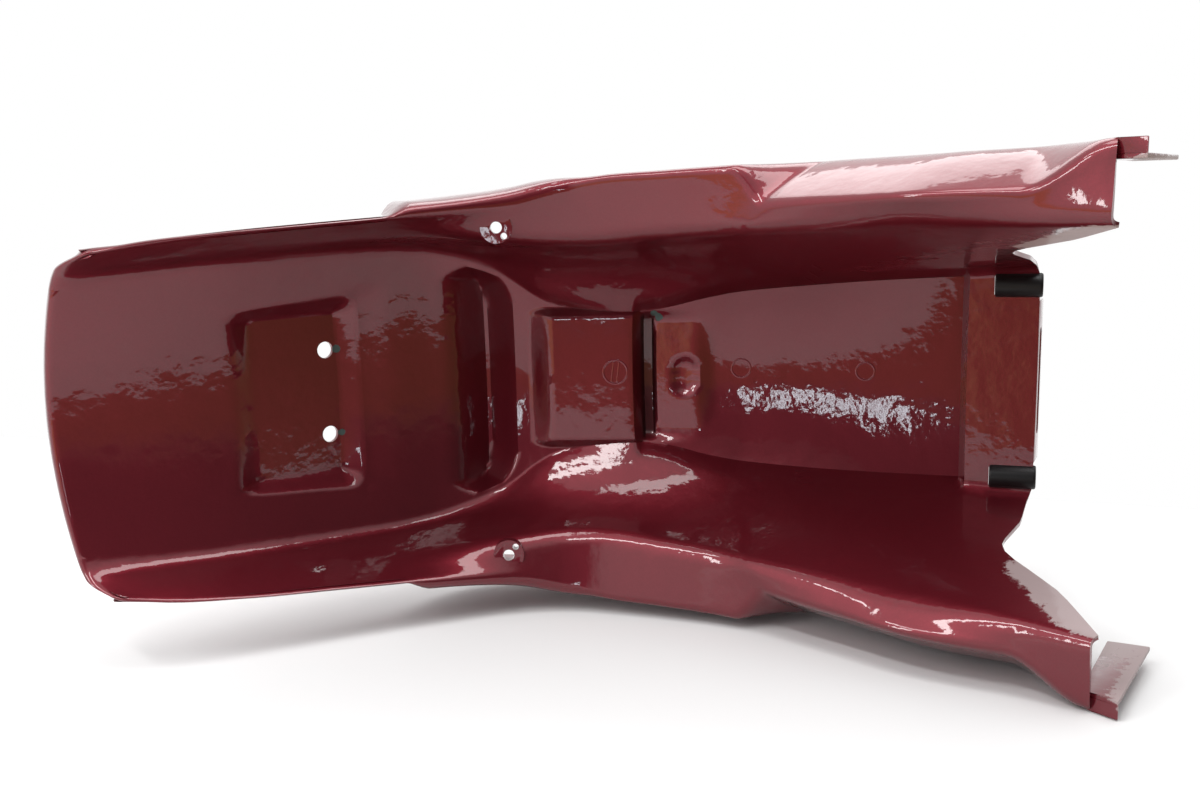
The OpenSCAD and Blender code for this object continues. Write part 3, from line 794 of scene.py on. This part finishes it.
def wine_paint(look):
    """Metallic wine red under clear lacquer, worn through to grey where the mask says."""
    material, tree, shader = node_tree("wine_paint")
    where = add(tree, "ShaderNodeTexCoord").outputs["Object"]
    cloud = noise(tree, where, 9.0, 4.0)
    flake = noise(tree, where, 900.0, 2.0)
    red = tuple(look.paint) + (1,)
    deep = tuple(c * 0.72 for c in look.paint) + (1,)
    paint = mix_rgb(tree, cloud, deep, red)
    paint = mix_rgb(tree, math_node(tree, "MULTIPLY", flake, 0.25), paint, (0.3, 0.03, 0.045, 1))
    mask = add(tree, "ShaderNodeAttribute", attribute_name="bare").outputs["Fac"]
    ragged = noise(tree, where, 160.0, 5.0, 0.7)
    tear = times(tree, math_node(tree, "SUBTRACT", ragged, 0.5), 1.6)
    edge = math_node(tree, "ADD", mask, tear)
    bare = math_node(tree, "MULTIPLY", math_node(tree, "SUBTRACT", edge, 0.5), 6.0, True)
    grey = mix_rgb(tree, cloud, tuple(look.bare) + (1,), tuple(c * 0.85 for c in look.bare) + (1,))
    place = apart(tree, where)
    flat = add(tree, "ShaderNodeCombineXYZ", {"X": place["X"], "Z": place["Z"]}).outputs[0]
    # Marks, chips and the painted shade in the groove lie on the hollow side alone
    normal = apart(tree, add(tree, "ShaderNodeNewGeometry").outputs["True Normal"])
    inner = spread(tree, normal["Y"], 0.1, -0.1)
    marks = times(tree, moulded_marks(tree, flat), inner)
    chips = times(tree, chipped(tree, flat, ragged), inner)
    colour = mix_rgb(tree, chips, mix_rgb(tree, bare, paint, grey), tuple(look.chip) + (1,))
    # Painted shade: the groove's colour is darkened to stand in for the shade of its depth
    groove_shade = times(tree, painted_groove_shade(tree, flat), inner)
    colour = mix_rgb(tree, groove_shade, colour, tuple(look.groove_shade) + (1,))
    bare = math_node(tree, "MAXIMUM", bare, chips)
    tree.links.new(colour, shader.inputs["Base Color"])
    metal = math_node(tree, "MULTIPLY", math_node(tree, "SUBTRACT", 1.0, bare), 0.65)
    tree.links.new(metal, shader.inputs["Metallic"])
    rough = math_node(tree, "ADD", math_node(tree, "MULTIPLY", bare, 0.15), 0.42)
    tree.links.new(rough, shader.inputs["Roughness"])
    coat = math_node(tree, "SUBTRACT", 1.0, math_node(tree, "MULTIPLY", bare, 0.8))
    tree.links.new(coat, shader.inputs["Coat Weight"])
    shader.inputs["Coat Roughness"].default_value = 0.05
    shader.inputs["Specular IOR Level"].default_value = 0.1
    shader.inputs["Coat IOR"].default_value = 1.5
    wave = noise(tree, where, 75.0, 2.0, 0.45)
    peel = noise(tree, where, 330.0, 2.0, 0.5)
    height = math_node(tree, "ADD", wave, times(tree, peel, 0.12))
    height = math_node(tree, "ADD", height, times(tree, marks, 0.4))
    height = math_node(tree, "SUBTRACT", height, times(tree, chips, 0.6))
    bump = add(tree, "ShaderNodeBump", {"Strength": 1.0, "Distance": look.peel, "Height": height})
    tree.links.new(bump.outputs["Normal"], shader.inputs["Normal"])
    tree.links.new(bump.outputs["Normal"], shader.inputs["Coat Normal"])
    return material


def damper_rubber(look):
    material, tree, shader = node_tree("damper_rubber")
    where = add(tree, "ShaderNodeTexCoord").outputs["Object"]
    grain = noise(tree, where, 700.0, 3.0, 0.6)
    dust = noise(tree, where, 120.0, 4.0, 0.6)
    dusty = tuple(c * 2.2 for c in look.rubber) + (1,)
    colour = mix_rgb(tree, dust, tuple(look.rubber) + (1,), dusty)
    tree.links.new(colour, shader.inputs["Base Color"])
    rough = math_node(tree, "ADD", math_node(tree, "MULTIPLY", dust, 0.3), 0.25)
    tree.links.new(rough, shader.inputs["Roughness"])
    shader.inputs["Specular IOR Level"].default_value = 0.25
    bump = add(tree, "ShaderNodeBump", {"Strength": 0.4, "Distance": 0.0002, "Height": grain})
    tree.links.new(bump.outputs["Normal"], shader.inputs["Normal"])
    return material


def stage_white(name, colour):
    material, tree, shader = node_tree(name)
    where = add(tree, "ShaderNodeTexCoord").outputs["Object"]
    faint = noise(tree, where, 3.0, 2.0)
    lighter = tuple(min(1.0, c * 1.01) for c in colour) + (1,)
    mixed = mix_rgb(tree, faint, tuple(colour) + (1,), lighter)
    tree.links.new(mixed, shader.inputs["Base Color"])
    shader.inputs["Roughness"].default_value = 0.6
    shader.inputs["Specular IOR Level"].default_value = 0.2
    return material


def bare_mask(points):
    """How bare each point is, from 0 painted to 1 grey, in the fender's own frame."""
    p = np.asarray(points) / MM + ORIGIN
    x, y, z = p[:, 0], p[:, 1], np.abs(p[:, 2])
    reach = (y + 135) / -100
    gusset = np.clip((x - (246 + 12 * np.clip(reach, 0, 1))) / 14 + 0.5, 0, 1)
    on_wall = np.clip((116 - z) / 3, 0, 1) * np.clip((-y - 128) / 14, 0, 1)
    tongue = np.clip((x - 272) / 3, 0, 1) * np.clip((152 - z) / 2, 0, 1) * (z > 140)
    return np.maximum(gusset * on_wall, tongue)


class FenderLook(bpy.types.PropertyGroup):
    """Colours and finish of the fender."""

    paint: FloatVectorProperty(
        name="Paint", description="Colour of the metallic paint", subtype="COLOR",
        default=(0.152, 0.011, 0.020), min=0, max=1,
    )
    bare: FloatVectorProperty(
        name="Bare plastic", description="Colour of unpainted and worn places", subtype="COLOR",
        default=(0.40, 0.31, 0.31), min=0, max=1,
    )
    rubber: FloatVectorProperty(
        name="Rubber", description="Colour of the dampers", subtype="COLOR",
        default=(0.005, 0.0045, 0.005), min=0, max=1,
    )
    chip: FloatVectorProperty(
        name="Chips", description="Colour under chipped paint", subtype="COLOR",
        default=(0.07, 0.10, 0.095), min=0, max=1,
    )
    # Colour of the painted shade in the groove, which stands in for the shade of its depth
    groove_shade: FloatVectorProperty(
        name="Groove_paint_shade", description="Colour of the painted_shade in the groove", subtype="COLOR",
        default=(0.03, 0.008, 0.008), min=0, max=1,
    )
    peel: FloatProperty(
        name="Orange peel", description="Height of the paint's waviness", default=0.0004,
        min=0, max=0.002, unit="LENGTH", precision=5,
    )


class StageLook(bpy.types.PropertyGroup):
    """Floor, backdrop, lamps and camera."""

    floor: FloatVectorProperty(
        name="Floor", description="Colour of the table and the backdrop", subtype="COLOR",
        default=(0.8, 0.8, 0.8), min=0, max=1,
    )
    top_power: FloatProperty(
        name="Top lamp", description="Power of the soft lamp overhead", default=10.0,
        min=0, unit="POWER",
    )
    back_power: FloatProperty(
        name="Back lamp", description="Power of the soft lamp above and behind", default=9.0,
        min=0, unit="POWER",
    )
    strip_power: FloatProperty(
        name="Strip lamp", description="Power of the long lamp overhead in front", default=8.5,
        min=0, unit="POWER",
    )
    window_power: FloatProperty(
        name="Window", description="Power of a pane of the window behind the camera",
        default=0.8, min=0, unit="POWER",
    )
    room_power: FloatProperty(
        name="Room lamp", description="Power of the wide soft lamp behind the camera",
        default=0.8, min=0, unit="POWER",
    )
    front: FloatProperty(
        name="Front", description="Light of the room behind the camera", default=0.08, min=0,
    )
    back: FloatProperty(name="Back", description="Light of the white backdrop", default=1.0, min=0)
    above: FloatProperty(name="Above", description="Light of the ceiling", default=0.8, min=0)
    ground: FloatVectorProperty(
        name="Ground", description="Colour of the room's floor past the table", subtype="COLOR",
        default=(1.0, 0.6, 0.26), min=0, max=1,
    )
    ground_light: FloatProperty(
        name="Ground light", description="Light of the room's floor", default=0.3, min=0,
    )
    lens: FloatProperty(
        name="Lens", description="Focal length of the camera", default=35.4,
        min=10, max=200, unit="CAMERA",
    )


class FENDER_OT_shell(bpy.types.Operator):
    """Build the red moulded shell with its flange and tongues"""

    bl_idname = "fender.shell"
    bl_label = "Moulded Shell"

    def execute(self, context):
        look = context.scene.fender_look
        seen, hidden, kinds = sheet_grids()
        rows, cols = seen.shape[:2]
        points = np.concatenate([seen.reshape(-1, 3), hidden.reshape(-1, 3)])
        shell = new_object("moulded_shell", to_row(points), sheet_faces(rows, cols))
        for extra in (*rail_seats(), front_flange(), *tongues()):
            apply_boolean(shell, extra, "UNION")
        apply_boolean(shell, shell_cutters(), "DIFFERENCE")
        if len(shell.data.polygons) < rows * cols:
            raise RuntimeError("the shell lost its faces in a cut")
        smooth_by_angle(shell, 32)
        at = np.zeros(len(shell.data.vertices) * 3, np.float32)
        shell.data.vertices.foreach_get("co", at)
        bare = shell.data.attributes.new("bare", "FLOAT", "POINT")
        bare.data.foreach_set("value", bare_mask(at.reshape(-1, 3)).astype(np.float32))
        shell.data.materials.clear()
        shell.data.materials.append(wine_paint(look))
        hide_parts("fender_shell")
        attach(shell, "root")
        return {"FINISHED"}


def damper_profile():
    """Radius along the damper from its inner end, with rounded ends and a small nub."""
    r, length = DAMPER["d"] / 2, SLOT["length"] + DAMPER["out"]
    return [
        (0.0, 0.0), (0.0, r - 1.2), (0.35, r - 0.45), (1.2, r - 0.05), (2.0, r), (length - 2.0, r),
        (length - 1.2, r - 0.05), (length - 0.35, r - 0.45), (length, r - 1.2), (length, 0.0),
    ]


class FENDER_OT_dampers(bpy.types.Operator):
    """Build the two rubber dampers of the front panel"""

    bl_idname = "fender.dampers"
    bl_label = "Rubber Dampers"

    def execute(self, context):
        rubber = damper_rubber(context.scene.fender_look)
        for side, node in ((1, "upper_damper"), (-1, "lower_damper")):
            at = turned_frame(PANEL_LINE[1], PANEL_TURN, side * SLOT["z"])
            inner_end = (-SLOT["length"] + DAMPER["play"]) * MM
            at = at @ Matrix.Translation((inner_end, WALL / 2 * MM, 0))
            points, faces = [], []
            profile, around = damper_profile(), 64
            for along, radius in profile[1:-1]:
                for k in range(around):
                    turn = 2 * math.pi * k / around
                    local = Vector((along, radius * math.cos(turn), radius * math.sin(turn))) * MM
                    points.append(at @ local)
            rings = len(profile) - 2
            for i in range(rings - 1):
                here, there = i * around, (i + 1) * around
                for k in range(around):
                    n = (k + 1) % around
                    faces.append((here + k, here + n, there + n, there + k))
            faces.append(tuple(range(around - 1, -1, -1)))
            faces.append(tuple(range((rings - 1) * around, rings * around)))
            damper = new_object("rubber_" + node, points, faces)
            bm = bmesh.new()
            groove = WALL / 2 + DAMPER["play"]
            for z in (-1, 1):
                low = SLOT["width"] / 2 - DAMPER["play"]
                lo, hi = sorted((z * low, z * DAMPER["d"]))
                add_box(bm, (-1, -groove, lo), (SLOT["length"] + 4, groove, hi), at)
            apply_boolean(damper, object_from(bm, "grooves"), "DIFFERENCE")
            smooth_by_angle(damper, 35)
            damper.data.materials.clear()
            damper.data.materials.append(rubber)
            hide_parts(node)
            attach(damper, "root")
        return {"FINISHED"}


# Camera: its place in the fender's own frame, in millimetres, and its axes
CAMERA_AT = (0, -858.37, 136.79)
CAMERA_RIGHT = Vector((0.99970, 0.0, -0.02455))
CAMERA_DOWN = Vector((-0.02419, -0.17146, -0.98489))
CAMERA_AHEAD = Vector((-0.00421, 0.98519, -0.17141))

# Outline of the table in metres, its edges where the floor of the picture ends or falls off
TABLE = [(-3, 1.57), (-3, -0.8), (-0.4, -0.8), (-0.048, -0.627), (0.165, -0.463), (0.31, -0.33)]
TABLE += [(0.552, 0.272), (-0.791, 0.760)]
TABLE_Z = -0.0006

# Lamps: name, place, aim and size in metres, power's property, share of that power
LAMPS = (
    ("top_lamp", (0.2, -0.2, 1.6), (0.2, -0.2, 0.1), (1.0, 0.6), "top_power", 1),
    ("back_lamp", (0.15, 1.2, 1.7), (0.15, 0.0, 0.2), (1.3, 0.8), "back_power", 1),
    ("strip_lamp", (-0.72, -0.75, 1.55), (0.1, 0.0, 0.05), (1.2, 0.14), "strip_power", 1),
    ("side_lamp", (-1.45, -0.9, 1.0), (0.2, -0.1, 0.05), (0.14, 0.9), "strip_power", 0.75),
    ("window_left", (-0.385, -2.4, 0.24), (0.1, 0.0, 0.12), (0.05, 0.34), "window_power", 1),
    ("window_right", (-0.31, -2.4, 0.24), (0.1, 0.0, 0.12), (0.05, 0.34), "window_power", 1),
    ("room_lamp", (-0.3, -2.6, 1.9), (0.0, 0.0, 0.12), (2.2, 1.4), "room_power", 1),
)
WINDOW_TINT = (0.82, 0.92, 1.0)


def plane_object(name, corners, material):
    obj = new_object(name, corners, [tuple(range(len(corners)))])
    obj.data.materials.append(material)
    return obj


def room_world(look):
    """White for the camera, and for light and reflections a room with bright and dark sides."""
    world = bpy.data.worlds.new("room")
    world.use_nodes = True
    tree = world.node_tree
    tree.nodes.clear()
    out = tree.nodes.new("ShaderNodeOutputWorld")
    shade = tree.nodes.new("ShaderNodeBackground")
    seen = tree.nodes.new("ShaderNodeLightPath").outputs["Is Camera Ray"]
    way = apart(tree, add(tree, "ShaderNodeTexCoord").outputs["Generated"])
    behind = spread(tree, way["Y"], -0.35, 0.25)
    leftward = spread(tree, way["X"], -0.28, -0.46)
    above = times(tree, spread(tree, way["Z"], 0.45, 0.75), look.above)
    below = times(tree, spread(tree, way["Z"], 0.02, -0.12), spread(tree, way["Y"], 0.1, -0.2))
    lit = times(tree, math_node(tree, "MAXIMUM", behind, leftward), look.back)
    room = math_node(tree, "ADD", math_node(tree, "MAXIMUM", lit, above), look.front)
    room = math_node(tree, "ADD", room, times(tree, below, look.ground_light))
    brown = times(tree, below, math_node(tree, "SUBTRACT", 1.0, seen))
    tint = mix_rgb(tree, brown, (1, 1, 1, 1), tuple(look.ground) + (1,))
    tree.links.new(tint, shade.inputs["Color"])
    tree.links.new(mix_value(tree, seen, room, 1.0), shade.inputs["Strength"])
    tree.links.new(shade.outputs[0], out.inputs[0])
    return world


class FENDER_OT_stage(bpy.types.Operator):
    """Build the camera, the table, the backdrop and the lamps"""

    bl_idname = "fender.stage"
    bl_label = "Stage"

    def execute(self, context):
        look, scene = context.scene.fender_stage, context.scene
        camera = bpy.data.cameras.new("camera")
        camera.sensor_width = 36.0
        camera.lens = look.lens
        eye = bpy.data.objects.new("camera", camera)
        turn = Matrix((CAMERA_RIGHT, -CAMERA_DOWN, -CAMERA_AHEAD)).transposed().to_4x4()
        eye.matrix_world = Matrix.Translation(Vector(to_row(CAMERA_AT))) @ turn
        scene.collection.objects.link(eye)
        scene.camera = eye

        white = stage_white("stage_white", look.floor)
        plane_object("table", [(x, y, TABLE_Z) for x, y in TABLE], white)
        scene.world = room_world(look)
        for name, spot, aim, size, power, share in LAMPS:
            lamp = bpy.data.lights.new(name, "AREA")
            lamp.shape = "RECTANGLE"
            lamp.size, lamp.size_y = size
            lamp.energy = getattr(look, power) * share
            if name.startswith("window"):
                lamp.color = WINDOW_TINT
            holder = bpy.data.objects.new(name, lamp)
            turn = (Vector(aim) - Vector(spot)).to_track_quat("-Z", "Y").to_matrix().to_4x4()
            holder.matrix_world = Matrix.Translation(Vector(spot)) @ turn
            scene.collection.objects.link(holder)

        scene.view_settings.view_transform = "Standard"
        return {"FINISHED"}


class FENDER_PT_panel(bpy.types.Panel):
    bl_label = "Fender"
    bl_idname = "FENDER_PT_panel"
    bl_space_type = "VIEW_3D"
    bl_region_type = "UI"
    bl_category = "Fender"

    def draw(self, context):
        for group in (context.scene.fender_look, context.scene.fender_stage):
            box = self.layout.box()
            for name in group.bl_rna.properties.keys():
                if name not in ("rna_type", "name"):
                    box.prop(group, name)
        for operator in OPERATORS:
            self.layout.operator(operator.bl_idname)


OPERATORS = (FENDER_OT_shell, FENDER_OT_dampers, FENDER_OT_stage)
CLASSES = (FenderLook, StageLook, *OPERATORS, FENDER_PT_panel)


def register():
    for cls in CLASSES:
        bpy.utils.register_class(cls)
    bpy.types.Scene.fender_look = PointerProperty(type=FenderLook)
    bpy.types.Scene.fender_stage = PointerProperty(type=StageLook)


def unregister():
    del bpy.types.Scene.fender_stage
    del bpy.types.Scene.fender_look
    for cls in reversed(CLASSES):
        bpy.utils.unregister_class(cls)


def main():
    register()
    bpy.ops.fender.shell()
    bpy.ops.fender.dampers()
    bpy.ops.fender.stage()


if __name__ == "__main__":
    main()
